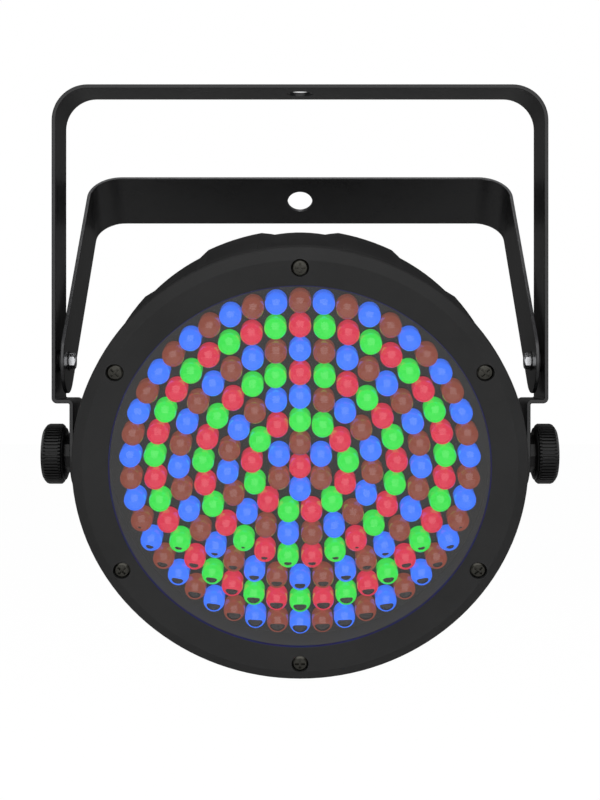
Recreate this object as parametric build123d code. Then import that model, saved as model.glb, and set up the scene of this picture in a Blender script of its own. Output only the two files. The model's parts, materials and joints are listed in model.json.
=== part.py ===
from build123d import *
import math
import os

# LED par can in a double yoke: an outer hanging yoke and an inner stand yoke.
# Millimetres, +Z up, the head faces -Y. The origin is the centre of the hanging
# hole on the upper face of the hanging yoke.

os.makedirs("parts", exist_ok=True)

# ---------------------------------------------------------------- dimensions
# hanging yoke (flat steel strip)
STRIP_W = 30.0            # strip width, along Y
YOKE_T = 1.8              # strip thickness
YOKE_HALF = 113.25        # half width over the upper legs
YOKE_CORNER = 16.4        # outer corner radius
PIVOT_DROP = 169.5        # from the upper face down to the tilt axis
JOG_UNDER = 24.0          # underside of the sideways jog, above the tilt axis
JOG_R = 2.5               # outer bend radius at the jog
LEG_IN = 103.3            # inner face of the lower legs
HANG_HOLE_R = 6.0         # hanging hole
END_R = 15.0              # rounded strip ends

# stand yoke
STAND_T = 1.7
STAND_HALF = 109.3
STAND_CORNER = 16.4
STAND_LEN = 121.5         # its pivot to its outer face
STAND_UP = 43.2           # its pivot above the tilt axis
STAND_LEAN = 46.0         # leaned back from upright, degrees
STAND_HOLE_R = 6.5
STAND_PIN_R = 2.0
STAND_PIN_CLEAR = 0.08

# head, measured along its own axis d (forward from the tilt axis)
TILT = 15.0               # facing down, degrees
BEZEL_R = 102.6
BEZEL_IN = 26.0           # face height at the window edge
BEZEL_RIM = 27.5          # face height at the rim; the face rises outwards
BEZEL_EDGE = 25.6         # foot of the sloped rim
BEZEL_BACK = 20.0
SCREW_FACE = 27.0         # face height at the screws
WINDOW_R = 86.0
LENS_R = 88.0
SEAL_R = 88.5             # channel seal round the edge of the lens
LENS_T = 1.0
LENS_BACK = 24.1
SCREW_PCR = 94.0
HOUSING_FRONT_R = 101.0
HOUSING_REAR_R = 100.1
HOUSING_REAR = -33.0
BACK_FACE = -41.0
BACK_T = 3.0
CAVITY_R = 95.4
BOARD_R = 88.4
BOARD_D = 10.0            # front face of the LED board
BOARD_T = 1.6

# light-emitting diodes: rings of 10 mm domes
RING_PITCH = 11.0
LED_R = 4.98
LED_DOME = 18.7           # centre of the dome
RINGS = [
    "r",
    "ababab",
    "ggrgrgrgrgrgr",
    "ba" * 9 + "b",
    "rgrgrgrgrgrgrgrgrgrgrgrgg",
    "ba" * 16,
    "rg" * 19,
    "ab" * 23,
]

# knobs
KNOB_R = 14.0
KNOB_OUT = 119.8
STUD_R = 4.0

ZP = -PIVOT_DROP
C15, S15 = math.cos(math.radians(TILT)), math.sin(math.radians(TILT))
HEAD = Plane(origin=(0, 0, ZP), x_dir=(1, 0, 0), z_dir=(0, -C15, -S15)).location
STAND = Location((0, 0, ZP + STAND_UP)) * Location((0, 0, 0), (-STAND_LEAN, 0, 0))


# ------------------------------------------------------------------- helpers
def save(name, shapes, place=None):
    """Write one node; shapes is a solid or a list of separate solids."""
    if not isinstance(shapes, (list, tuple)):
        shapes = [shapes]
    solids = []
    for shape in shapes:
        for solid in shape.solids():
            solids.append(solid.moved(place) if place is not None else solid)
    whole = solids[0] if len(solids) == 1 else Compound(solids)
    whole.label = name
    export_step(whole, f"parts/{name}.step")


def turned(points, axis=Axis.Z):
    """Solid of revolution about Z from (radius, height) points."""
    face = make_face(Polyline(*[(r, 0, h) for r, h in points], close=True))
    return revolve(face, axis=axis)


def tube(r_out, r_in, lo, hi):
    body = Pos(0, 0, (lo + hi) / 2) * Cylinder(r_out, hi - lo)
    if r_in > 0:
        body -= Pos(0, 0, (lo + hi) / 2) * Cylinder(r_in, hi - lo + 2)
    return body


def rod(x, y, r, lo, hi):
    return Pos(x, y, (lo + hi) / 2) * Cylinder(r, hi - lo)


def block(x0, x1, y0, y1, z0, z1):
    return Pos((x0 + x1) / 2, (y0 + y1) / 2, (z0 + z1) / 2) * Box(x1 - x0, y1 - y0, z1 - z0)


def slab(cx, cy, w, h, z0, z1, r):
    """Rounded rectangle plate."""
    return extrude(Pos(cx, cy, z0) * RectangleRounded(w, h, r), amount=z1 - z0)


def bent_strip(points, radii, t):
    """Face of a bent strip: a centre line in X-Z with bend radii, thickened by t."""
    def side(off):
        dirs = []
        for (x0, z0), (x1, z1) in zip(points, points[1:]):
            n = math.hypot(x1 - x0, z1 - z0)
            dirs.append(((x1 - x0) / n, (z1 - z0) / n))
        pts, rad = [], []
        for i, (x, z) in enumerate(points):
            if i == 0 or i == len(points) - 1:
                dx, dz = dirs[0] if i == 0 else dirs[-1]
                pts.append((x - dz * off, z + dx * off))
                continue
            (ax, az), (bx, bz) = dirs[i - 1], dirs[i]
            turn = ax * bz - az * bx
            k = off / (1 + ax * bx + az * bz)
            pts.append((x + k * (-az - bz), z + k * (ax + bx)))
            rad.append(radii[i - 1] - off * (1 if turn > 0 else -1))
        return pts, rad
    lp, lr = side(t / 2)
    rp, rr = side(-t / 2)
    left = FilletPolyline(*[(x, 0, z) for x, z in lp], radius=lr)
    right = FilletPolyline(*[(x, 0, z) for x, z in rp], radius=rr)
    e0 = Line((lp[0][0], 0, lp[0][1]), (rp[0][0], 0, rp[0][1]))
    e1 = Line((lp[-1][0], 0, lp[-1][1]), (rp[-1][0], 0, rp[-1][1]))
    return make_face(left.edges() + right.edges() + e0.edges() + e1.edges())


def softened(body, r, picks):
    try:
        out = fillet(picks(body), r)
        if out.is_valid and out.volume > 0:
            return out
    except Exception:
        pass
    return body


def hexagon(af, lo, hi, turn=0.0):
    return extrude(Pos(0, 0, lo) * Rot(0, 0, turn) * RegularPolygon(af / 2, 6, major_radius=False), amount=hi - lo)


def cross_screw(head_r, head_lo, head_hi, shank_r, tip, recess=1.0):
    """Pan head cross-recess screw; head on the side of head_hi, shank towards tip."""
    up = 1 if head_hi > tip else -1
    dome = turned([(0, head_lo), (head_r, head_lo), (head_r, head_lo + up * abs(head_hi - head_lo) * 0.45),
                   (head_r * 0.78, head_lo + up * abs(head_hi - head_lo) * 0.86), (head_r * 0.4, head_hi), (0, head_hi)])
    shank = rod(0, 0, shank_r, min(tip, head_lo), max(tip, head_lo))
    body = dome + shank
    w = head_r * 0.28
    span = head_r * 1.25
    body -= Pos(0, 0, head_hi) * Box(span, w, 2 * recess)
    body -= Pos(0, 0, head_hi) * Box(w, span, 2 * recess)
    return body


# -------------------------------------------------------------- hanging yoke
leg_mid = LEG_IN + YOKE_T / 2
up_mid = YOKE_HALF - YOKE_T / 2
half = [
    (leg_mid, ZP - END_R),
    (leg_mid, ZP + JOG_UNDER + YOKE_T / 2),
    (up_mid, ZP + JOG_UNDER + YOKE_T / 2),
    (up_mid, -YOKE_T / 2),
]
line = half + [(-x, z) for x, z in reversed(half)]
bend = JOG_R - YOKE_T / 2
corner = YOKE_CORNER - YOKE_T / 2
face = bent_strip(line, [bend, bend, corner, corner, bend, bend], YOKE_T)
yoke = extrude(face, amount=STRIP_W / 2, dir=(0, 1, 0), both=True)
for side in (1, -1):
    trim = Pos(side * leg_mid, 0, ZP - END_R) * Box(8, STRIP_W + 4, 2 * END_R)
    trim -= Pos(side * leg_mid, 0, ZP) * Rot(0, 90, 0) * Cylinder(END_R, 10)
    yoke -= trim
yoke = softened(yoke, 0.35, lambda b: [e for e in b.edges() if abs(abs(e.center().Y) - STRIP_W / 2) < 1e-3
                                       and abs(abs((e @ 0).Y) - STRIP_W / 2) < 1e-3])
yoke -= Cylinder(HANG_HOLE_R, 8)
for side in (1, -1):
    yoke -= Pos(side * leg_mid, 0, ZP) * Rot(0, 90, 0) * Cylinder(STUD_R + 0.25, 8)
    yoke -= Pos(side * up_mid, 0, ZP + STAND_UP) * Rot(0, 90, 0) * Cylinder(STAND_PIN_R, 8)
    yoke -= Pos(side * (YOKE_HALF - 0.45 + 1), 0, ZP + STAND_UP) * Rot(0, 90, 0) * Cylinder(3.6, 2.9)
save("hanging_yoke", yoke)

# rubber-faced friction washers between the legs and the head
along_x = [Location(Plane(origin=(0, 0, ZP), x_dir=(0, 1, 0), z_dir=(s, 0, 0))) for s in (1, -1)]
save("yoke_friction_washers", [w.moved(p) for w in tube(12.0, 4.5, 102.3, LEG_IN).solids() for p in along_x])

# flush studs pressed into the hanging yoke; the stand yoke turns on them
at_stand = [Location(Plane(origin=(0, 0, ZP + STAND_UP), x_dir=(0, 1, 0), z_dir=(s, 0, 0))) for s in (1, -1)]
stud = rod(0, 0, 3.6, YOKE_HALF - 0.9, YOKE_HALF) + rod(0, 0, STAND_PIN_R, 104.4, YOKE_HALF - 0.9)
save("stand_pivot_studs", [s.moved(p) for s in stud.solids() for p in at_stand])
save("stand_pivot_spacers", [s.moved(p) for s in tube(5.2, STAND_PIN_R, 109.45, YOKE_HALF - YOKE_T).solids() for p in at_stand])
stand_in = STAND_HALF - STAND_T
save("stand_pivot_washers", [s.moved(p) for s in tube(4.5, STAND_PIN_R, stand_in - 0.35, stand_in - 0.12).solids() for p in at_stand])
nut = hexagon(6.7, stand_in - 3.1, stand_in - 0.35, 30.0)
nut &= turned([(0, stand_in - 3.2), (3.2, stand_in - 3.2), (4.0, stand_in - 2.6), (4.0, stand_in - 0.75), (3.45, stand_in - 0.3), (0, stand_in - 0.3)])
nut -= rod(0, 0, STAND_PIN_R, 90, 112)
save("stand_pivot_nuts", [s.moved(p) for s in nut.solids() for p in at_stand])

# ---------------------------------------------------------------- stand yoke
mid = STAND_HALF - STAND_T / 2
pts = [(mid, -END_R), (mid, STAND_LEN - STAND_T / 2), (-mid, STAND_LEN - STAND_T / 2), (-mid, -END_R)]
c = STAND_CORNER - STAND_T / 2
stand = extrude(bent_strip(pts, [c, c], STAND_T), amount=STRIP_W / 2, dir=(0, 1, 0), both=True)
for side in (1, -1):
    trim = Pos(side * mid, 0, -END_R) * Box(8, STRIP_W + 4, 2 * END_R)
    trim -= Pos(side * mid, 0, 0) * Rot(0, 90, 0) * Cylinder(END_R, 10)
    stand -= trim
stand = softened(stand, 0.35, lambda b: [e for e in b.edges() if abs(abs(e.center().Y) - STRIP_W / 2) < 1e-3
                                         and abs(abs((e @ 0).Y) - STRIP_W / 2) < 1e-3])
stand -= Pos(0, 0, STAND_LEN) * Cylinder(STAND_HOLE_R, 8)
for side in (1, -1):
    stand -= Pos(side * mid, 0, 0) * Rot(0, 90, 0) * Cylinder(STAND_PIN_R + STAND_PIN_CLEAR, 8)
save("stand_yoke", stand, STAND)

# --------------------------------------------------------------------- knobs
def ribbed(r_tip, r_root, count, lo, hi):
    pts = []
    for i in range(count):
        for part, r in ((0.08, r_root), (0.22, r_tip), (0.50, r_tip), (0.64, r_root)):
            a = 2 * math.pi * (i + part) / count
            pts.append((r * math.cos(a), r * math.sin(a), lo))
    return extrude(make_face(Polyline(*pts, close=True)), amount=hi - lo)


def tilt_knob(s):
    body = ribbed(KNOB_R, KNOB_R - 0.85, 52, 109.6, 118.2)
    body &= turned([(0, 109.6), (KNOB_R - 1.4, 109.6), (KNOB_R - 0.6, 110.0), (KNOB_R, 110.8), (KNOB_R, 116.4), (KNOB_R - 0.4, 117.4), (KNOB_R - 1.3, 118.2), (0, 118.2)])
    body += turned([(0, 108.4), (10.6, 108.4), (12.0, 108.9), (12.3, 109.3), (12.1, 109.6), (0, 109.6)])
    body += turned([(0, 118.2), (KNOB_R - 1.3, 118.2), (11.6, 118.9), (7.0, 119.5), (0, KNOB_OUT)])
    body += extrude(Pos(0, 0, 106.05) * Rot(0, 0, 3.0 * s) * RegularPolygon(8.9, 10), amount=2.5)
    return body - rod(0, 0, STUD_R, 100, 113.0)


knob_stud = rod(0, 0, STUD_R, 94.0, 113.0)
knob_washer = tube(8.75, STUD_R + 0.05, 105.25, 105.95)
for name, side, place in zip(("right", "left"), (1, -1), along_x):
    save(f"{name}_knob", tilt_knob(side), place)
    save(f"{name}_knob_stud", knob_stud, place)
    save(f"{name}_knob_washer", knob_washer, place)

# --------------------------------------------------------------- front bezel
angles = [math.radians(60 * k) for k in range(6)]
ring6 = [(SCREW_PCR * math.sin(a), SCREW_PCR * math.cos(a)) for a in angles]
plate_in = 24.4
SEAL_FRONT = LENS_BACK + LENS_T + 0.2
bezel = turned([
    (WINDOW_R, BEZEL_IN - 0.15), (WINDOW_R + 0.2, BEZEL_IN + 0.05), (97.45, BEZEL_RIM), (97.9, BEZEL_RIM - 0.12),
    (102.0, BEZEL_EDGE + 0.02), (102.4, BEZEL_EDGE - 0.33), (BEZEL_R, BEZEL_EDGE - 0.75), (BEZEL_R, BEZEL_BACK + 0.3),
    (BEZEL_R - 0.3, BEZEL_BACK), (100.9, BEZEL_BACK), (100.9, 22.6), (99.6, plate_in - 0.4), (98.6, plate_in),
    (90.7, plate_in), (90.7, 21.5), (88.9, 21.5), (SEAL_R + 0.1, SEAL_FRONT), (WINDOW_R, SEAL_FRONT),
])
for x, y in ring6:
    bezel += rod(x, y, 4.6, 21.5, plate_in + 0.2)
bezel -= rod(0, 0, SEAL_R + 0.1, 15, SEAL_FRONT)
for x, y in ring6:
    bezel -= rod(x, y, 4.05, SCREW_FACE - 1.5, SCREW_FACE + 3)
    bezel -= rod(x, y, 1.9, 15, SCREW_FACE)
save("front_bezel", bezel, HEAD)

lens = turned([(0, LENS_BACK), (LENS_R, LENS_BACK), (LENS_R, LENS_BACK + LENS_T), (0, LENS_BACK + LENS_T)])
save("front_lens", lens, HEAD)
save("lens_gasket", turned([(86.6, 22.9), (SEAL_R, 22.9), (SEAL_R, SEAL_FRONT), (WINDOW_R, SEAL_FRONT), (WINDOW_R, BEZEL_IN - 0.1),
                            (85.65, BEZEL_IN - 0.1), (85.5, LENS_BACK + LENS_T), (LENS_R, LENS_BACK + LENS_T), (LENS_R, LENS_BACK), (86.6, LENS_BACK)]), HEAD)
save("lens_retainer_ring", turned([(86.4, 21.0), (86.4, 22.9), (SEAL_R, 22.9), (SEAL_R, 21.6), (88.2, 21.3),
                                    (88.2, BOARD_D), (87.0, BOARD_D), (87.0, 20.4)]), HEAD)

screw = cross_screw(3.7, SCREW_FACE - 1.5, SCREW_FACE - 0.05, 1.7, 8.0, 1.1)
save("bezel_screws", [s.moved(Location((x, y, 0), (0, 0, 45 if i % 3 else 0))) for i, (x, y) in enumerate(ring6) for s in screw.solids()], HEAD)

# ----------------------------------------------------------------- LED board
board = tube(BOARD_R, 0, BOARD_D - BOARD_T, BOARD_D)
save("led_board", board, HEAD)
led = (rod(0, 0, 5.12, BOARD_D, BOARD_D + 0.9) + rod(0, 0, LED_R, BOARD_D, LED_DOME)
       + (Pos(0, 0, LED_DOME) * Sphere(LED_R) & block(-6, 6, -6, 6, LED_DOME, LED_DOME + 6)))
led = led.solids()[0]
leds = {"r": [], "g": [], "b": [], "a": []}
for k, seq in enumerate(RINGS):
    for i, colour in enumerate(seq):
        a = 2 * math.pi * i / len(seq)
        leds[colour].append(led.moved(Location((RING_PITCH * k * math.sin(a), RING_PITCH * k * math.cos(a), 0))))
for key, name in (("r", "leds_red"), ("g", "leds_green"), ("b", "leds_blue"), ("a", "leds_amber")):
    save(name, leds[key], HEAD)

# ---------------------------------------------------------------- rear shell
shell = turned([
    (0, BACK_FACE), (86.5, BACK_FACE), (91.5, BACK_FACE + 0.9), (95.6, BACK_FACE + 3.2), (98.4, BACK_FACE + 5.9),
    (HOUSING_REAR_R, HOUSING_REAR + 1.0), (HOUSING_FRONT_R, 19.8), (100.6, 19.8), (100.6, 21.2), (0, 21.2)])


def bay(a0, a1, b1, b0, floor, front):
    """Shallow recess in the side: a0..b0 at the surface, a1..b1 along its floor (radii at a1, middle, b1)."""
    def at(r, a):
        return (r * math.sin(math.radians(a)), r * math.cos(math.radians(a)), 0)
    m = (a1 + b1) / 2
    lines = Polyline(at(floor[0], a1), at(100.5, a0), at(108, a0 - 0.5), at(112, m), at(108, b0 + 0.5), at(100.5, b0), at(floor[2], b1))
    arc = ThreePointArc(at(floor[2], b1), at(floor[1], m), at(floor[0], a1))
    f = make_face(lines.edges() + arc.edges())
    return extrude(Pos(0, 0, BACK_FACE - 2) * f, amount=front - BACK_FACE + 2)


for centre in (0, 180):
    shell -= bay(centre + 25.0, centre + 29.0, centre + 44.7, centre + 48.0, (98.0, 98.3, 98.5), 12.0)
    shell -= bay(centre - 48.0, centre - 44.7, centre - 29.0, centre - 25.0, (98.5, 98.3, 98.0), 12.0)
    shell -= bay(centre - 10.9, centre - 7.0, centre + 7.0, centre + 10.9, (97.7, 98.1, 97.7), 12.0)
for s in (1, -1):
    shell += Rot(0, 90, 0) * rod(0, 0, 10.5, 93.0, 101.9) if s > 0 else Rot(0, -90, 0) * rod(0, 0, 10.5, 93.0, 101.9)
shell -= turned([(0, BACK_FACE + BACK_T), (88.5, BACK_FACE + BACK_T), (93.2, BACK_FACE + 4.6), (CAVITY_R, BACK_FACE + 7.6),
                 (CAVITY_R, 30.0), (0, 30.0)])
shell += [rod(x, y, 4.6, 4.0, 21.3) & tube(99.9, 0, 0, 30) for x, y in ring6]
for x, y in ring6:
    shell -= rod(x, y, 1.7, 7.5, 30)
for s in (1, -1):
    turn = Rot(0, 90 * s, 0)
    shell += turn * (rod(0, 0, 9.0, 91.0, 97.0))
    shell -= turn * (rod(0, 0, 6.0, 80.0, 110.0))
# chassis posts
post = 59.4
for sx in (1, -1):
    for sy in (1, -1):
        shell += rod(sx * post, sy * post, 4.0, BACK_FACE + 1.5, -1.5)
        shell -= rod(sx * post, sy * post, 1.4, -14, 0)
# recess, opening and screw bosses of the rear panel
PANEL_W, PANEL_H = 120.0, 112.0
shell -= slab(0, 0, PANEL_W + 0.4, PANEL_H + 0.4, BACK_FACE - 1, BACK_FACE + 1.6, 6.2)
shell -= slab(0, 0, 100.0, 92.0, BACK_FACE - 1, BACK_FACE + 6, 4.0)
panel_screws = [(sx * 55.0, sy * 51.0) for sx in (1, -1) for sy in (1, -1)]
for x, y in panel_screws:
    shell += rod(x, y, 3.4, BACK_FACE + 1.6, BACK_FACE + 8)
    shell -= rod(x, y, 1.45, BACK_FACE - 1, BACK_FACE + 8.5)
# vent slots: in the back beside the panel, and in the two lower bays
for s in (1, -1):
    for k in range(-6, 7):
        shell -= slab(s * 73.5, 6.2 * k, 17.0 if abs(k) < 5 else 12.0, 2.4, BACK_FACE - 1, BACK_FACE + 5, 1.15)
for centre in (143.15, -143.15):
    for k in (-2, -1, 0, 1, 2):
        shell -= Rot(0, 0, -(centre + 3.0 * k)) * block(-1.1, 1.1, 90, 105, -24, -2)
# slots of the safety loop
for s in (1, -1):
    shell -= rod(s * 11.0, 72.0, 1.7, BACK_FACE - 1, BACK_FACE + 5)
save("rear_housing", shell, HEAD)

save("pivot_inserts", [(Rot(0, 90 * s, 0) * tube(6.0, STUD_R + 0.05, 91.5, 101.9)) for s in (1, -1)], HEAD)

# ---------------------------------------------------------- chassis and boards
chassis = tube(90.0, 0, -1.5, 0.0)
for sx in (1, -1):
    for sy in (1, -1):
        chassis -= rod(sx * post, sy * post, 1.6, -5, 5)
LED_POSTS = [(79.0 * math.sin(a + math.radians(30)), 79.0 * math.cos(a + math.radians(30))) for a in angles]
for x, y in LED_POSTS:
    chassis -= rod(x, y, 1.6, -5, 5)
chassis -= block(61.0, 75.5, 28.5, 31.5, -5, 5)
SPACERS = [(sx * (68 + dx), dy) for sx in (1, -1) for dx in (-10, 10) for dy in (-32, 32)]
save("chassis_plate", chassis, HEAD)
# one kind of small screw holds the chassis, the LED board and the rear panel
m3_up = cross_screw(2.9, 0.0, 1.9, 1.4, -7.0, 1.0)
m3_down = cross_screw(2.9, 0.0, -1.9, 1.4, 7.0, 1.0)
m3 = [s.moved(Location((sx * post, sy * post, 0))) for sx in (1, -1) for sy in (1, -1) for s in m3_up.solids()]
standoff = hexagon(5.0, 0.0, BOARD_D - BOARD_T) - rod(0, 0, 1.5, -1, 6.5)
save("board_standoffs", [s.moved(Location((x, y, 0))) for x, y in LED_POSTS for s in standoff.solids()], HEAD)
m3 += [s.moved(Location((x, y, -1.5))) for x, y in LED_POSTS for s in m3_down.solids()]

side_board = block(-82, -54, -36, 36, -9.1, -7.5)
save("power_supply_board", side_board, HEAD)
save("led_driver_board", side_board.mirror(Plane.YZ), HEAD)
save("board_spacers", [rod(x, y, 2.4, -7.5, -1.5) for x, y in SPACERS], HEAD)
core = block(-80, -58, -12, 12, -24, -9.1) - block(-77, -61, -14, 14, -21, -12.1)
save("transformer_core", core, HEAD)
save("transformer_coil", slab(-69, 0, 15.6, 33, -20.8, -12.3, 4.0), HEAD)
save("supply_capacitors", [rod(-72, 23, 6.0, -28, -9.1), rod(-62, -26, 5.0, -24, -9.1), rod(-74, -26, 5.0, -24, -9.1)], HEAD)
sink = block(60, 76, -30, 10, -22, -20) + block(60, 62, -30, 10, -22, -9.1)
for k in range(4):
    sink += block(64 + 3.4 * k, 65.2 + 3.4 * k, -30, 10, -28, -20.5)
save("driver_heat_sink", sink, HEAD)
save("led_ribbon_cable", block(62.0, 74.5, 29.5, 30.5, -7.5, BOARD_D - BOARD_T), HEAD)

# ---------------------------------------------------------------- rear panel
OUT = BACK_FACE           # outer face of the panel
panel = slab(0, 0, PANEL_W, PANEL_H, OUT, OUT + 1.5, 6.0)
for x, y in panel_screws:
    panel -= rod(x, y, 1.7, OUT - 2, OUT + 4)
XLR_IN, XLR_OUT = (-31.0, 0.0), (31.0, 0.0)
IEC_IN, IEC_OUT = (-26.0, -32.0), (26.0, -32.0)
FUSE = (0.0, 4.0)
CTRL = (0.0, 31.0)
BUTTONS = [(6.0 + 7.6 * k, 31.0) for k in range(4)]
for x, y in (XLR_IN, XLR_OUT):
    panel -= rod(x, y, 12.0, OUT - 2, OUT + 4)
    for s in (1, -1):
        panel -= rod(x - s * 9.6, y + s * 12.2, 1.5, OUT - 2, OUT + 4)
for x, y in (IEC_IN, IEC_OUT):
    panel -= slab(x, y, 27.4, 20.4, OUT - 2, OUT + 4, 2.0)
panel -= rod(*FUSE, 6.4, OUT - 2, OUT + 4)
panel -= slab(*CTRL, 68, 20, OUT - 2, OUT + 4, 2.0)
save("rear_panel", panel, HEAD)
m3 += [s.moved(Location((x, y, OUT))) for x, y in panel_screws for s in m3_down.solids()]
save("chassis_and_panel_screws", m3, HEAD)

# control panel, display and menu buttons
keypad = slab(*CTRL, 78, 26, OUT - 1.4, OUT, 3.0)
keypad -= slab(-17, 31, 32.3, 13.3, OUT - 3, OUT + 2, 1.15)
for x, y in BUTTONS:
    keypad -= rod(x, y, 3.05, OUT - 3, OUT + 2)
save("control_panel", keypad, HEAD)
save("display_window", slab(-17, 31, 32, 13, OUT - 1.2, OUT + 0.2, 1.0), HEAD)
digits = block(-32, -2, 25.5, 36.5, OUT + 0.4, -33.6)
save("display_module", digits, HEAD)
save("control_board", block(-33, 37, 20, 42, -33.6, -32.0) + block(-30, 0, 21, 24, -32.0, -28.0), HEAD)
save("button_switches", [block(x - 3, x + 3, y - 3, y + 3, -36.6, -33.6) + rod(x, y, 1.4, -37.0, -36.6) for x, y in BUTTONS], HEAD)
for n, (x, y) in enumerate(BUTTONS, 1):
    cap = turned([(0, OUT - 2.5), (2.3, OUT - 2.4), (2.8, OUT - 1.9), (2.8, OUT + 0.2), (3.7, OUT + 0.2), (3.7, OUT + 1.1),
                  (1.4, OUT + 1.1), (1.4, OUT + 2.8), (0, OUT + 2.8)])
    save(f"menu_button_{n}", cap.moved(Location((x, y, 0))), HEAD)


# three-pin connectors
def xlr_flange():
    return slab(0, 0, 26, 31, OUT - 2.0, OUT, 3.0)


pins3 = [(4.0 * math.sin(math.radians(a)), 4.0 * math.cos(math.radians(a))) for a in (60, 180, 300)]
sock_in = xlr_flange() + rod(0, 0, 11.8, OUT, OUT + 19) - rod(0, 0, 9.6, OUT - 3, OUT + 16)
for s in (1, -1):
    sock_in -= rod(-s * 9.6, s * 12.2, 1.6, OUT - 5, OUT + 4)
for x, y in pins3:
    sock_in -= rod(x, y, 1.2, OUT + 14, OUT + 21)
save("dmx_input_socket", sock_in.moved(Location((*XLR_IN, 0))), HEAD)
save("dmx_input_pins", [rod(x, y, 1.2, OUT + 4.0, OUT + 22).moved(Location((*XLR_IN, 0))) for x, y in pins3], HEAD)

sock_out = xlr_flange() + rod(0, 0, 11.8, OUT, OUT + 19) - rod(0, 0, 9.8, OUT - 3, OUT + 15)
for s in (1, -1):
    sock_out -= rod(-s * 9.6, s * 12.2, 1.6, OUT - 5, OUT + 4)
sock_out -= block(-3.8, 3.8, 9.0, 16.5, OUT - 3, OUT - 0.6)
save("dmx_output_socket", sock_out.moved(Location((*XLR_OUT, 0))), HEAD)
insert = rod(0, 0, 7.8, OUT - 0.6, OUT + 15)
for x, y in pins3:
    insert -= rod(x, y, 1.35, OUT - 3, OUT + 12)
save("dmx_output_insert", insert.moved(Location((*XLR_OUT, 0))), HEAD)
tab = block(-3.5, 3.5, 12.2, 16.3, OUT - 2.9, OUT - 0.9) + block(-2.4, 2.4, 10.2, 12.4, OUT - 1.9, OUT - 0.9)
save("dmx_release_tab", tab.moved(Location((*XLR_OUT, 0))), HEAD)
dsc = cross_screw(2.4, OUT - 2.0, OUT - 3.5, 1.45, OUT + 5, 0.8)
save("dmx_socket_screws", [sc.moved(Location((x - s * 9.6, y + s * 12.2, 0))) for x, y in (XLR_IN, XLR_OUT) for s in (1, -1) for sc in dsc.solids()], HEAD)

# mains inlet and outlet
iec = slab(0, 0, 31, 25, OUT - 2.0, OUT, 2.5) + slab(0, 0, 27, 20, OUT, OUT + 21, 1.8)
inlet = iec - slab(0, 0, 24, 16.6, OUT - 3, OUT + 17, 1.5)
blades = [(-7.0, -1.5), (7.0, -1.5), (0.0, 2.5)]
for x, y in blades:
    inlet -= block(x - 1.0, x + 1.0, y - 2.0, y + 2.0, OUT + 15, OUT + 25)
save("power_inlet", inlet.moved(Location((*IEC_IN, 0))), HEAD)
save("power_inlet_pins", [block(x - 1.0, x + 1.0, y - 2.0, y + 2.0, OUT + (3.2 if y > 0 else 4.4), OUT + 25).moved(Location((*IEC_IN, 0))) for x, y in blades], HEAD)
outlet = iec - (slab(0, 0, 25.4, 18.0, OUT - 3, OUT + 16, 2.0) - slab(0, 0, 21.0, 13.6, OUT - 4, OUT + 17, 1.5))
for x, y in blades:
    outlet -= block(x - 1.3, x + 1.3, y - 2.3, y + 2.3, OUT - 3, OUT + 14)
save("power_outlet", outlet.moved(Location((*IEC_OUT, 0))), HEAD)

# fuse holder: body, quarter-turn cap and the fuse it carries
holder = rod(0, 0, 7.6, OUT - 1.5, OUT) + rod(0, 0, 6.2, OUT, OUT + 27) - rod(0, 0, 5.2, OUT - 3, OUT + 25.5)
save("fuse_holder", holder.moved(Location((*FUSE, 0))), HEAD)
fcap = rod(0, 0, 6.4, OUT - 5.2, OUT - 1.7) + rod(0, 0, 5.12, OUT - 1.7, OUT + 4.0)
fcap = softened(fcap, 0.5, lambda b: b.faces().sort_by(Axis.Z)[0].edges())
fcap -= Pos(0, 0, OUT - 5.2) * Box(9.0, 1.4, 2.4)
fcap -= rod(0, 0, 2.6, OUT + 1.0, OUT + 5)
save("fuse_cap", fcap.moved(Location((*FUSE, 0))), HEAD)
save("fuse", rod(0, 0, 2.5, OUT + 4.6, OUT + 24.6).moved(Location((*FUSE, 0))), HEAD)

# safety loop on the back, above the panel: bent round bar on two feet
LOOP_Y = 72.0
bar = 2.0
legs = [rod(s * 11.0, LOOP_Y, bar, OUT - 9.0, OUT) for s in (1, -1)]
arch = Pos(0, LOOP_Y, OUT - 9.0) * Rot(90, 0, 0) * Torus(11.0, bar)
arch &= block(-20, 20, LOOP_Y - 5, LOOP_Y + 5, OUT - 30, OUT - 9.0)
loop = arch + legs[0] + legs[1]
loop += [rod(s * 11.0, LOOP_Y, 1.7, OUT, OUT + 6.5) for s in (1, -1)]
loop += [rod(s * 11.0, LOOP_Y, 3.6, OUT - 1.6, OUT) for s in (1, -1)]
save("safety_loop", loop, HEAD)
lnut = hexagon(7.0, BACK_FACE + BACK_T, BACK_FACE + BACK_T + 3.0) - rod(0, 0, 1.7, OUT, OUT + 8)
save("safety_loop_nuts", [s.moved(Location((k * 11.0, LOOP_Y, 0))) for k in (1, -1) for s in lnut.solids()], HEAD)
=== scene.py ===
import json
import math
import random

import bmesh
import bpy
from mathutils import Matrix, Vector


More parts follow.
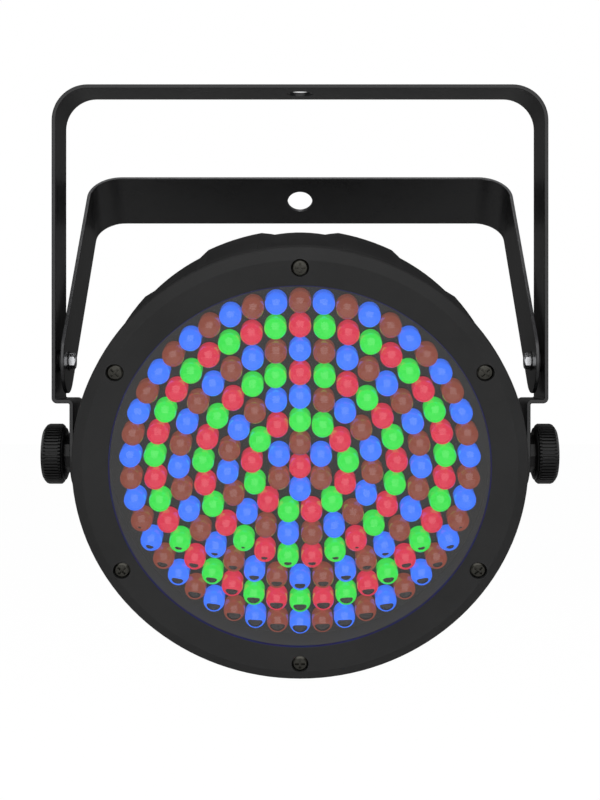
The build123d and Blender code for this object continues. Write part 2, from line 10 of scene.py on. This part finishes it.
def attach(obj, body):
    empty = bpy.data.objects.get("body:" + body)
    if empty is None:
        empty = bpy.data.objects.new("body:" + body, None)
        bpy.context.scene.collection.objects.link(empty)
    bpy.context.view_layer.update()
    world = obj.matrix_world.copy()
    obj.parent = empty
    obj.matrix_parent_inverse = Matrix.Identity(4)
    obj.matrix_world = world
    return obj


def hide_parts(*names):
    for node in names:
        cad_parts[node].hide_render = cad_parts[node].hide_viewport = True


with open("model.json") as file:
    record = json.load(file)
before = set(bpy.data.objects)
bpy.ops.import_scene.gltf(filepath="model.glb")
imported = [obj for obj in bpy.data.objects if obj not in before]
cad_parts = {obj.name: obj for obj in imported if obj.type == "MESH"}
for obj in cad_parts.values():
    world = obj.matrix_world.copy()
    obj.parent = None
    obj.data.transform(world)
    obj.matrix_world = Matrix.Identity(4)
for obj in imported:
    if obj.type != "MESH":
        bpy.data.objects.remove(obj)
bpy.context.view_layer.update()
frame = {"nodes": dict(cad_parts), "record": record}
nodes = frame["nodes"]
record = frame["record"]

# ------------------------------------------------------------------ frame of the head
ZP = -0.1695                       # tilt axis below the hanging hole
TILT = math.radians(15.0)
N = Vector((0, -math.cos(TILT), -math.sin(TILT)))
U = Vector((0, -math.sin(TILT), math.cos(TILT)))
X = Vector((1, 0, 0))
HEAD = Matrix((
    (X.x, U.x, N.x, 0.0),
    (X.y, U.y, N.y, 0.0),
    (X.z, U.z, N.z, ZP),
    (0, 0, 0, 1),
))                                  # head axes: x right, y up, z forward, millimetres below are scaled


def head_pt(x, y, d):
    return HEAD @ Vector((x / 1000, y / 1000, d / 1000))


# ------------------------------------------------------------------ material helpers
def srgb(r, g, b):
    out = []
    for v in (r, g, b):
        v /= 255.0
        out.append(v / 12.92 if v <= 0.04045 else ((v + 0.055) / 1.055) ** 2.4)
    return (*out, 1.0)


def new_mat(name):
    m = bpy.data.materials.new(name)
    m.use_nodes = True
    nt = m.node_tree
    bsdf = next(n for n in nt.nodes if n.type == "BSDF_PRINCIPLED")
    return m, nt, bsdf


def add(nt, kind, **vals):
    n = nt.nodes.new(kind)
    for k, v in vals.items():
        if k.startswith("in_"):
            n.inputs[k[3:].replace("_", " ")].default_value = v
        else:
            setattr(n, k, v)
    return n


def noise(nt, coord, scale, detail=4.0, rough=0.55, distort=0.0):
    n = nt.nodes.new("ShaderNodeTexNoise")
    n.inputs["Scale"].default_value = scale
    n.inputs["Detail"].default_value = detail
    n.inputs["Roughness"].default_value = rough
    n.inputs["Distortion"].default_value = distort
    nt.links.new(coord, n.inputs["Vector"])
    return n.outputs["Fac"]


def ramp(nt, fac, stops):
    r = nt.nodes.new("ShaderNodeValToRGB")
    cr = r.color_ramp
    while len(cr.elements) < len(stops):
        cr.elements.new(0.5)
    for e, (p, c) in zip(cr.elements, stops):
        e.position = p
        e.color = c if len(c) == 4 else (*c, 1)
    nt.links.new(fac, r.inputs["Fac"])
    return r.outputs["Color"]


def mapr(nt, fac, a, b, lo=0.0, hi=1.0):
    r = nt.nodes.new("ShaderNodeMapRange")
    r.inputs["From Min"].default_value = lo
    r.inputs["From Max"].default_value = hi
    r.inputs["To Min"].default_value = a
    r.inputs["To Max"].default_value = b
    nt.links.new(fac, r.inputs["Value"])
    return r.outputs["Result"]


def math_node(nt, op, a, b=None):
    m = nt.nodes.new("ShaderNodeMath")
    m.operation = op
    for i, v in enumerate((a, b)):
        if v is None:
            continue
        if isinstance(v, (int, float)):
            m.inputs[i].default_value = v
        else:
            nt.links.new(v, m.inputs[i])
    return m.outputs[0]


def mix(nt, fac, a, b):
    m = nt.nodes.new("ShaderNodeMix")
    m.data_type = "RGBA"
    if isinstance(fac, (int, float)):
        m.inputs[0].default_value = fac
    else:
        nt.links.new(fac, m.inputs[0])
    for sock, v in ((m.inputs[6], a), (m.inputs[7], b)):
        if isinstance(v, (tuple, list)):
            sock.default_value = v if len(v) == 4 else (*v, 1)
        else:
            nt.links.new(v, sock)
    return m.outputs[2]


def coords(nt):
    g = nt.nodes.new("ShaderNodeTexCoord")
    return g.outputs["Object"]


def edge_mask(nt, radius, lo=0.02, hi=0.35):
    """0 on flats, 1 on sharp convex edges, from the difference between bevelled and true normals."""
    bev = nt.nodes.new("ShaderNodeBevel")
    bev.samples = 4
    bev.inputs["Radius"].default_value = radius
    geo = nt.nodes.new("ShaderNodeNewGeometry")
    dot = nt.nodes.new("ShaderNodeVectorMath")
    dot.operation = "DOT_PRODUCT"
    nt.links.new(bev.outputs["Normal"], dot.inputs[0])
    nt.links.new(geo.outputs["True Normal"], dot.inputs[1])
    inv = math_node(nt, "SUBTRACT", 1.0, dot.outputs["Value"])
    return mapr(nt, inv, 0.0, 1.0, lo, hi)


def bump(nt, bsdf, height, strength, distance, chain=None):
    b = nt.nodes.new("ShaderNodeBump")
    b.inputs["Strength"].default_value = strength
    b.inputs["Distance"].default_value = distance
    nt.links.new(height, b.inputs["Height"])
    if chain is not None:
        nt.links.new(chain, b.inputs["Normal"])
    nt.links.new(b.outputs["Normal"], bsdf.inputs["Normal"])
    return b.outputs["Normal"]


def set_spec(bsdf, level, ior=1.5):
    bsdf.inputs["Specular IOR Level"].default_value = level
    bsdf.inputs["IOR"].default_value = ior


def powder_coat(name, base, edge_highlight_colour, scale=2600.0, strength=0.35, rough=(0.42, 0.56), spec=0.5, edge_highlight_amount=0.5, cut=None, painted_light_gain=3.0):
    """Fine orange-peel powder coat with a painted highlight along its convex edges, mottled by noise; cut is the
    direction of the sheared edge faces, which get a brighter painted highlight.
    """
    m, nt, b = new_mat(name)
    co = coords(nt)
    fine = noise(nt, co, scale, 3.0, 0.6)
    peel = noise(nt, co, scale / 6.0, 2.0, 0.5)
    broad = noise(nt, co, 35.0, 4.0, 0.6)
    col = mix(nt, mapr(nt, broad, 0.0, 1.0, 0.35, 0.65), tuple(v * 0.88 for v in base), tuple(v * 1.12 for v in base))
    # painted highlight: the edge colour is laid along convex edges, mottled by noise
    edge_highlight_mask = math_node(nt, "MULTIPLY", edge_mask(nt, 0.0006), mapr(nt, noise(nt, co, 420.0, 3.0, 0.7), edge_highlight_amount * 0.4, edge_highlight_amount, 0.4, 0.62))
    col = mix(nt, edge_highlight_mask, col, edge_highlight_colour)
    # painted highlight: faces across cut get a brighter copy of the edge colour
    if cut:
        geo = nt.nodes.new("ShaderNodeNewGeometry")
        dot = nt.nodes.new("ShaderNodeVectorMath")
        dot.operation = "DOT_PRODUCT"
        nt.links.new(geo.outputs["Normal"], dot.inputs[0])
        dot.inputs[1].default_value = cut
        across = mapr(nt, math_node(nt, "ABSOLUTE", dot.outputs["Value"]), 0.0, 1.0, 0.45, 0.92)
        cut_edge_highlight = math_node(nt, "MULTIPLY", across, mapr(nt, noise(nt, co, 260.0, 4.0, 0.65), 0.55, 1.0, 0.35, 0.6))
        col = mix(nt, cut_edge_highlight, col, tuple(v * painted_light_gain for v in edge_highlight_colour))
    nt.links.new(col, b.inputs["Base Color"])
    nt.links.new(mapr(nt, math_node(nt, "ADD", math_node(nt, "MULTIPLY", fine, 0.5), math_node(nt, "MULTIPLY", broad, 0.5)), rough[0], rough[1], 0.35, 0.65), b.inputs["Roughness"])
    set_spec(b, spec)
    n1 = bump(nt, b, peel, strength * 0.6, 0.00012)
    bump(nt, b, fine, strength, 0.00004, n1)
    return m


def moulded(name, base, rough=(0.45, 0.55), grain=1900.0, strength=0.3, spec=0.5, edge_highlight_colour=None, edge_highlight_amount=0.25):
    """Moulded plastic: spark-eroded grain, a little colour drift, a painted highlight on edges."""
    m, nt, b = new_mat(name)
    co = coords(nt)
    v = nt.nodes.new("ShaderNodeTexVoronoi")
    v.inputs["Scale"].default_value = grain
    nt.links.new(co, v.inputs["Vector"])
    fine = noise(nt, co, grain * 1.7, 2.0, 0.5)
    broad = noise(nt, co, 22.0, 5.0, 0.6)
    col = mix(nt, mapr(nt, broad, 0.0, 1.0, 0.35, 0.65), tuple(x * 0.9 for x in base), tuple(x * 1.1 for x in base))
    # painted highlight: the edge colour is laid along convex edges
    if edge_highlight_colour:
        edge_highlight_mask = math_node(nt, "MULTIPLY", edge_mask(nt, 0.0005), edge_highlight_amount)
        col = mix(nt, edge_highlight_mask, col, edge_highlight_colour)
    nt.links.new(col, b.inputs["Base Color"])
    nt.links.new(mapr(nt, broad, rough[0], rough[1], 0.35, 0.65), b.inputs["Roughness"])
    set_spec(b, spec)
    n1 = bump(nt, b, v.outputs["Distance"], strength, 0.00005)
    bump(nt, b, fine, strength * 0.5, 0.00002, n1)
    return m


def metal(name, base, rough=(0.22, 0.36), scratch=900.0, strength=0.12, aniso=0.0):
    m, nt, b = new_mat(name)
    co = coords(nt)
    mp = nt.nodes.new("ShaderNodeMapping")
    mp.inputs["Scale"].default_value = (1.0, 0.12, 0.12)
    nt.links.new(co, mp.inputs["Vector"])
    brushed = noise(nt, mp.outputs["Vector"], scratch, 4.0, 0.65)
    spots = noise(nt, co, 160.0, 3.0, 0.6)
    col = mix(nt, mapr(nt, spots, 0.0, 1.0, 0.3, 0.7), tuple(v * 0.82 for v in base), base)
    nt.links.new(col, b.inputs["Base Color"])
    b.inputs["Metallic"].default_value = 1.0
    b.inputs["Anisotropic"].default_value = aniso
    nt.links.new(mapr(nt, brushed, rough[0], rough[1], 0.3, 0.7), b.inputs["Roughness"])
    bump(nt, b, brushed, strength, 0.00003)
    return m


def glass(name, tint, rough=0.02, ior=1.5, transmission=1.0):
    m, nt, b = new_mat(name)
    co = coords(nt)
    smear = noise(nt, co, 30.0, 4.0, 0.6)
    nt.links.new(mix(nt, smear, tint, tuple(v * 0.97 for v in tint)), b.inputs["Base Color"])
    b.inputs["Transmission Weight"].default_value = transmission
    b.inputs["IOR"].default_value = ior
    nt.links.new(mapr(nt, smear, rough, rough * 2.0 + 0.01, 0.35, 0.7), b.inputs["Roughness"])
    return m


def painted_glow_grey(name, base, painted_light_gain):
    """Dark surface beside the LEDs, with an even emission painted in for the stray light of the LEDs."""
    m = moulded(name, base, rough=(0.55, 0.68), grain=900.0, spec=0.25)
    nt = m.node_tree
    b = next(n for n in nt.nodes if n.type == "BSDF_PRINCIPLED")
    n = noise(nt, coords(nt), 700.0, 3.0, 0.6)
    # painted glow: an emission stands in for the stray LED light on this surface
    nt.links.new(mix(nt, n, (0.93, 0.93, 0.93), (1.0, 1.0, 1.0)), b.inputs["Emission Color"])
    b.inputs["Emission Strength"].default_value = painted_light_gain
    return m


def clear_sheet(name):
    """Thin clear cover: what is behind shows through, and light passes; only its outer gloss is seen, at any angle."""
    m, nt, b = new_mat(name)
    co = coords(nt)
    smear = noise(nt, co, 18.0, 4.0, 0.6)
    nt.links.new(mix(nt, smear, (0.9, 0.9, 0.9), (1.0, 1.0, 1.0)), b.inputs["Base Color"])
    nt.links.new(mapr(nt, smear, 0.02, 0.06, 0.3, 0.7), b.inputs["Roughness"])
    b.inputs["Metallic"].default_value = 1.0
    clear = nt.nodes.new("ShaderNodeBsdfTransparent")
    fr = nt.nodes.new("ShaderNodeFresnel")
    fr.inputs["IOR"].default_value = 1.12
    mx = nt.nodes.new("ShaderNodeMixShader")
    geo = nt.nodes.new("ShaderNodeNewGeometry")
    front = nt.nodes.new("ShaderNodeMath")
    front.operation = "SUBTRACT"
    front.inputs[0].default_value = 1.0
    nt.links.new(geo.outputs["Backfacing"], front.inputs[1])
    gloss = nt.nodes.new("ShaderNodeMath")
    gloss.operation = "MULTIPLY"
    nt.links.new(fr.outputs[0], gloss.inputs[0])
    nt.links.new(front.outputs[0], gloss.inputs[1])
    nt.links.new(gloss.outputs[0], mx.inputs[0])
    nt.links.new(clear.outputs[0], mx.inputs[1])
    nt.links.new(b.outputs[0], mx.inputs[2])
    out = next(n for n in nt.nodes if n.type == "OUTPUT_MATERIAL")
    nt.links.new(mx.outputs[0], out.inputs["Surface"])
    return m


def glow(name, colour, strength, under=0.4):
    """A lit surface with a faint die pattern; colour is linear."""
    m, nt, b = new_mat(name)
    co = coords(nt)
    n = noise(nt, co, 240.0, 2.0, 0.5)
    c = mix(nt, mapr(nt, n, 0.0, 1.0, 0.3, 0.7), tuple(v * 0.97 for v in colour[:3]), tuple(min(1.0, v * 1.03) for v in colour[:3]))
    nt.links.new(c, b.inputs["Emission Color"])
    b.inputs["Emission Strength"].default_value = strength
    nt.links.new(mix(nt, 1.0, (0, 0, 0), tuple(v * under for v in colour[:3])), b.inputs["Base Color"])
    b.inputs["Roughness"].default_value = 0.6
    return m


BLACK = (0.0115, 0.0115, 0.0122)
LEAN = math.radians(46.0)
MATS = {
    # the edge colours in these materials are painted edge highlights
    "yoke_paint": powder_coat("m_yoke_paint", BLACK, (0.04, 0.04, 0.042), rough=(0.26, 0.33), strength=0.2, spec=0.4),
    # the stand also gets a painted highlight on its sheared edge faces
    "stand_paint": powder_coat("m_stand_paint", BLACK, (0.04, 0.04, 0.042), rough=(0.26, 0.33), strength=0.2, spec=0.4, cut=(0.0, math.cos(LEAN), -math.sin(LEAN)), painted_light_gain=1.8),
    "bezel_plastic": moulded("m_bezel_plastic", (0.031, 0.031, 0.0312), rough=(0.5, 0.6), spec=0.12, edge_highlight_colour=(0.09, 0.09, 0.09), edge_highlight_amount=0.4),
    "housing_plastic": moulded("m_housing_plastic", (0.0175, 0.0175, 0.018), edge_highlight_colour=(0.05, 0.05, 0.05)),
    # painted glow on inner_plastic and board_dark, standing in for stray LED light
    "inner_plastic": painted_glow_grey("m_inner_plastic", (0.012, 0.012, 0.011), 0.047),
    "knob_plastic": moulded("m_knob_plastic", (0.005, 0.005, 0.0052), rough=(0.32, 0.42), spec=0.28, edge_highlight_colour=(0.05, 0.05, 0.05), edge_highlight_amount=0.5),
    "keypad_plastic": moulded("m_keypad_plastic", (0.022, 0.022, 0.024), rough=(0.4, 0.5)),
    "rubber_black": moulded("m_rubber_black", (0.012, 0.012, 0.012), rough=(0.7, 0.82), grain=900.0),
    "seal_navy": moulded("m_seal_navy", (0.007, 0.0075, 0.085), rough=(0.45, 0.55), grain=900.0),
    "nylon_black": moulded("m_nylon_black", (0.012, 0.012, 0.012), rough=(0.4, 0.5)),
    "nylon_white": moulded("m_nylon_white", (0.6, 0.59, 0.55), rough=(0.4, 0.5)),
    "zinc": metal("m_zinc", (0.72, 0.73, 0.75)),
    "zinc_black": metal("m_zinc_black", (0.09, 0.09, 0.1), rough=(0.35, 0.5)),
    "screw_black": metal("m_screw_black", (0.075, 0.073, 0.064), rough=(0.28, 0.4)),
    "board_dark": painted_glow_grey("m_board_dark", (0.012, 0.012, 0.011), 0.047),
    "board_green": moulded("m_board_green", (0.012, 0.10, 0.035), rough=(0.3, 0.4), grain=600.0),
    "brass": metal("m_brass", (0.75, 0.52, 0.2)),
    "sheet_aluminium": metal("m_sheet_aluminium", (0.75, 0.76, 0.77), rough=(0.3, 0.45)),
    "core_iron": metal("m_core_iron", (0.2, 0.2, 0.21), rough=(0.45, 0.6)),
    "coil_tape": moulded("m_coil_tape", (0.6, 0.38, 0.04), rough=(0.3, 0.4)),
    "capacitor_sleeve": moulded("m_capacitor_sleeve", (0.01, 0.015, 0.06), rough=(0.25, 0.35)),
    "ribbon_grey": moulded("m_ribbon_grey", (0.3, 0.3, 0.31)),
    "panel_paint": powder_coat("m_panel_paint", (0.034, 0.034, 0.036), (0.09, 0.09, 0.09)),
    "display_black": moulded("m_display_black", (0.01, 0.01, 0.01)),
    "button_grey": moulded("m_button_grey", (0.22, 0.22, 0.23), rough=(0.4, 0.5)),
    "socket_metal": metal("m_socket_metal", (0.12, 0.12, 0.13), rough=(0.3, 0.42)),
    "socket_plastic": moulded("m_socket_plastic", (0.02, 0.02, 0.021)),
    "silver_pins": metal("m_silver_pins", (0.8, 0.78, 0.74)),
    "clear_lens": clear_sheet("m_clear_lens"),
    "smoked_window": glass("m_smoked_window", (0.6, 0.05, 0.05), rough=0.03),
    "fuse_glass": glass("m_fuse_glass", (0.9, 0.93, 0.93)),
    "led_red": moulded("m_led_red_cad", (0.5, 0.05, 0.08)),
    "led_green": moulded("m_led_green_cad", (0.06, 0.6, 0.1)),
    "led_blue": moulded("m_led_blue_cad", (0.06, 0.2, 0.8)),
    "led_amber": moulded("m_led_amber_cad", (0.27, 0.09, 0.06)),
}
slot_of = {s["node"]: s["material_slot"] for s in record["subparts"]}
for name, obj in nodes.items():
    mat = MATS["stand_paint" if name == "stand_yoke" else slot_of[name]]
    obj.data.materials.clear()
    obj.data.materials.append(mat)


# ------------------------------------------------------------------ LEDs
PITCH, LED_R, DOME, BASE = 11.0, 4.98, 18.7, 10.0
CORE_R, CORE_TOP = 2.93, 13.6      # the lit cup inside the epoxy
RINGS = ["r", "ababab", "ggrgrgrgrgrgr", "ba" * 9 + "b", "rgrgrgrgrgrgrgrgrgrgrgrgg", "ba" * 16, "rg" * 19, "ab" * 23]
COLOURS = {
    "r": ("red", srgb(218, 66, 88), 0.89),
    "g": ("green", srgb(70, 228, 88), 0.89),
    "b": ("blue", srgb(73, 128, 255), 0.97),
    "a": ("amber", srgb(143, 84, 71), 0.84),
}
places = {k: [] for k in COLOURS}
for k, seq in enumerate(RINGS):
    for i, c in enumerate(seq):
        a = 2 * math.pi * i / len(seq)
        places[c].append((PITCH * k * math.sin(a), PITCH * k * math.cos(a)))


def lathe(bm, profile, cx, cy, seg):
    """Turn (radius, d) points about a head-parallel axis at cx, cy. Closed at points of radius 0."""
    rings = []
    for r, d in profile:
        if r < 1e-6:
            rings.append([bm.verts.new(head_pt(cx, cy, d))])
        else:
            rings.append([bm.verts.new(head_pt(cx + r * math.cos(2 * math.pi * j / seg), cy + r * math.sin(2 * math.pi * j / seg), d)) for j in range(seg)])
    for a, b in zip(rings, rings[1:]):
        for j in range(seg):
            k = (j + 1) % seg
            if len(a) == 1 and len(b) > 1:
                bm.faces.new((a[0], b[k], b[j]))
            elif len(b) == 1 and len(a) > 1:
                bm.faces.new((a[j], a[k], b[0]))
            elif len(a) > 1:
                bm.faces.new((a[j], a[k], b[k], b[j]))
    return rings


def finish_mesh(bm, name, mat, body, smooth=True, replaces=()):
    bmesh.ops.recalc_face_normals(bm, faces=bm.faces)
    me = bpy.data.meshes.new(name)
    bm.to_mesh(me)
    bm.free()
    ob = bpy.data.objects.new(name, me)
    bpy.context.scene.collection.objects.link(ob)
    me.materials.append(mat)
    if smooth:
        for p in me.polygons:
            p.use_smooth = True
    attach(ob, body)
    if replaces:
        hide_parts(*replaces)
    return ob


def dome_profile():
    pts = [(0.0, BASE - 0.12), (4.9, BASE - 0.12), (5.08, BASE - 0.05), (5.12, BASE + 0.1), (5.12, BASE + 0.75), (5.07, BASE + 0.88), (LED_R, BASE + 0.98), (LED_R, 12.5), (LED_R, 15.5), (LED_R, DOME)]
    for i in range(1, 13):
        t = math.pi / 2 * i / 12
        pts.append((LED_R * math.cos(t) if i < 12 else 0.0, DOME + LED_R * math.sin(t)))
    return pts


prof = dome_profile()
for key, (word, colour, power) in COLOURS.items():
    tint = tuple(0.80 + 0.20 * (v / max(colour[:3])) for v in colour[:3])
    shell = glass(f"m_led_{word}_epoxy", tint, rough=0.0, ior=1.5)
    bm = bmesh.new()
    for x, y in places[key]:
        lathe(bm, prof, x, y, 32)
    finish_mesh(bm, f"led_{word}_domes", shell, "head", replaces=(f"leds_{word}",))
    core = glow(f"m_led_{word}_core", colour, power)
    bm = bmesh.new()
    for x, y in places[key]:
        lathe(bm, [(0.0, 10.12), (CORE_R - 0.1, 10.12), (CORE_R, 10.2), (CORE_R, CORE_TOP - 0.06), (CORE_R - 0.06, CORE_TOP), (0.0, CORE_TOP)], x, y, 32)
    finish_mesh(bm, f"led_{word}_cores", core, "head")

# ------------------------------------------------------------------ stage, light and camera
ROOM = 0.07                        # how brightly the room itself shines on the light
scene = bpy.context.scene
scene.view_settings.view_transform = "Standard"
scene.view_settings.look = "None"
scene.view_settings.exposure = 0.0
scene.view_settings.gamma = 1.0

world = bpy.data.worlds.new("studio")
scene.world = world
world.use_nodes = True
wnt = world.node_tree
bg = next(n for n in wnt.nodes if n.type == "BACKGROUND")
bg.inputs["Color"].default_value = (1, 1, 1, 1)
wlp = wnt.nodes.new("ShaderNodeLightPath")
wmr = wnt.nodes.new("ShaderNodeMapRange")          # a white backdrop that lights the room only dimly
wmr.inputs["To Min"].default_value = ROOM
wmr.inputs["To Max"].default_value = 1.0
wnt.links.new(wlp.outputs["Is Camera Ray"], wmr.inputs["Value"])
wnt.links.new(wmr.outputs["Result"], bg.inputs["Strength"])


def plane(name, size, loc, rot, mat):
    bm = bmesh.new()
    bmesh.ops.create_grid(bm, x_segments=1, y_segments=1, size=size)
    me = bpy.data.meshes.new(name)
    bm.to_mesh(me)
    bm.free()
    ob = bpy.data.objects.new(name, me)
    ob.location = loc
    ob.rotation_euler = rot
    scene.collection.objects.link(ob)
    me.materials.append(mat)
    return ob


fm, fnt, fb = new_mat("m_floor")
fco = coords(fnt)
fnt.links.new(mix(fnt, noise(fnt, fco, 3.0), (0.83, 0.83, 0.83), (0.87, 0.87, 0.87)), fb.inputs["Base Color"])
fb.inputs["Roughness"].default_value = 0.9
fb.inputs["Specular IOR Level"].default_value = 0.1
fem = fnt.nodes.new("ShaderNodeEmission")
fem.inputs["Strength"].default_value = 1.06
fmx = fnt.nodes.new("ShaderNodeMixShader")
flp = fnt.nodes.new("ShaderNodeLightPath")
fnt.links.new(math_node(fnt, "MULTIPLY", flp.outputs["Is Camera Ray"], 0.93), fmx.inputs[0])
fnt.links.new(fb.outputs[0], fmx.inputs[1])
fnt.links.new(fem.outputs[0], fmx.inputs[2])
fout = next(n for n in fnt.nodes if n.type == "OUTPUT_MATERIAL")
fnt.links.new(fmx.outputs[0], fout.inputs["Surface"])
plane("floor", 6.0, (0, 0, ZP - 0.42), (0, 0, 0), fm)


def softbox(name, azimuth, elevation, distance, half_x, half_y, radiance):
    """Rectangular softbox aimed at the head; azimuth 0 is in front, angles in degrees."""
    az, el = math.radians(azimuth), math.radians(elevation)
    aim = Vector((0, 0, ZP))
    way = Vector((math.sin(az) * math.cos(el), -math.cos(az) * math.cos(el), math.sin(el)))
    l = bpy.data.lights.new(name, "AREA")
    l.shape = "RECTANGLE"
    l.size = 2 * distance * math.tan(math.radians(half_x))
    l.size_y = 2 * distance * math.tan(math.radians(half_y))
    l.energy = radiance * math.pi * l.size * l.size_y
    ob = bpy.data.objects.new(name, l)
    ob.location = aim + way * distance
    ob.rotation_euler = (-way).to_track_quat("-Z", "Y").to_euler()
    ob.visible_camera = False
    scene.collection.objects.link(ob)
    return ob


softbox("key", 0.0, 28.5, 1.2, 37.0, 40.0, 1.5)
softbox("back_left", -122.0, 12.0, 1.6, 14.0, 14.0, 0.9)
softbox("back_high", 180.0, 80.0, 1.2, 12.0, 8.0, 2.5)
softbox("back_right", 122.0, 12.0, 1.6, 14.0, 14.0, 0.9)

cam = bpy.data.cameras.new("camera")
cam.lens = 1390.6 / 800.0 * 36.0
cam.sensor_width = 36.0
cam.sensor_fit = "AUTO"
cam.shift_x = 0.0
cam.shift_y = -54.2 / 800.0
cam.clip_start = 0.01
cob = bpy.data.objects.new("camera", cam)
cob.location = (0.0, -0.6485, ZP + 0.0503)
cob.rotation_euler = (math.pi / 2, 0, 0)
scene.collection.objects.link(cob)
scene.camera = cob

bpy.context.view_layer.update()
